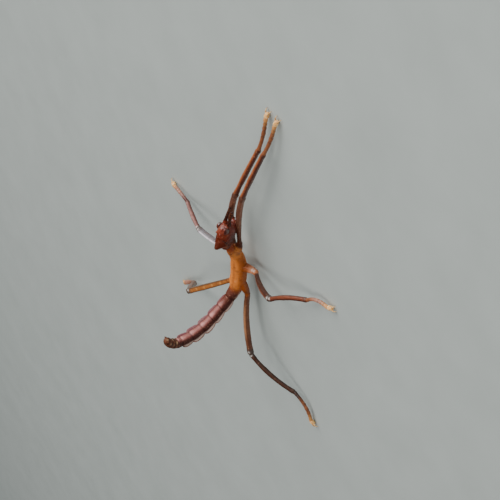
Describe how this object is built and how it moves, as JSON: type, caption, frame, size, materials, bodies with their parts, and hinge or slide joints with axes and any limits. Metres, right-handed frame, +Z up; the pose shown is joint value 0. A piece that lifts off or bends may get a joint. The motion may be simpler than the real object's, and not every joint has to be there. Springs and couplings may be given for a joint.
{
  "type": "stick insect",
  "caption": "Young prickly stick insect, still life-size model: forelegs stretched out in front, orange thorax, and a lobed abdomen curled up over its back.",
  "frame": {"origin": "the middle of the box round the insect, on the floor under its feet", "axes": "+Y is the way the insect faces, +X is its right side, +Z is up"},
  "size_m": [0.0242, 0.0332, 0.0093],
  "materials": {
    "cuticle": "satin, mottled dark red-brown with an orange thorax",
    "eye": "glossy",
    "foot": "soft cream pads with amber claws"
  },
  "bodies": {
    "root": {"abdomen_10": "cuticle", "abdomen_2": "cuticle", "abdomen_3": "cuticle", "abdomen_4": "cuticle", "abdomen_5": "cuticle", "abdomen_6": "cuticle", "abdomen_7": "cuticle", "abdomen_8": "cuticle", "abdomen_9": "cuticle", "antenna_left": "cuticle", "antenna_right": "cuticle", "coxa_fore_left": "cuticle", "coxa_fore_right": "cuticle", "coxa_hind_left": "cuticle", "coxa_hind_right": "cuticle", "coxa_middle_left": "cuticle", "coxa_middle_right": "cuticle", "eye_left": "eye", "eye_right": "eye", "femur_fore_left": "cuticle", "femur_fore_right": "cuticle", "femur_hind_left": "cuticle", "femur_hind_right": "cuticle", "femur_middle_left": "cuticle", "femur_middle_right": "cuticle", "foot_fore_left": "foot", "foot_fore_right": "foot", "foot_hind_left": "foot", "foot_hind_right": "foot", "foot_middle_left": "foot", "foot_middle_right": "foot", "head": "cuticle", "mesothorax": "cuticle", "metathorax": "cuticle", "mouth": "cuticle", "neck": "cuticle", "prothorax": "cuticle", "tarsus_fore_left": "cuticle", "tarsus_fore_right": "cuticle", "tarsus_hind_left": "cuticle", "tarsus_hind_right": "cuticle", "tarsus_middle_left": "cuticle", "tarsus_middle_right": "cuticle", "tibia_fore_left": "cuticle", "tibia_fore_right": "cuticle", "tibia_hind_left": "cuticle", "tibia_hind_right": "cuticle", "tibia_middle_left": "cuticle", "tibia_middle_right": "cuticle"}
  },
  "joints": []
}
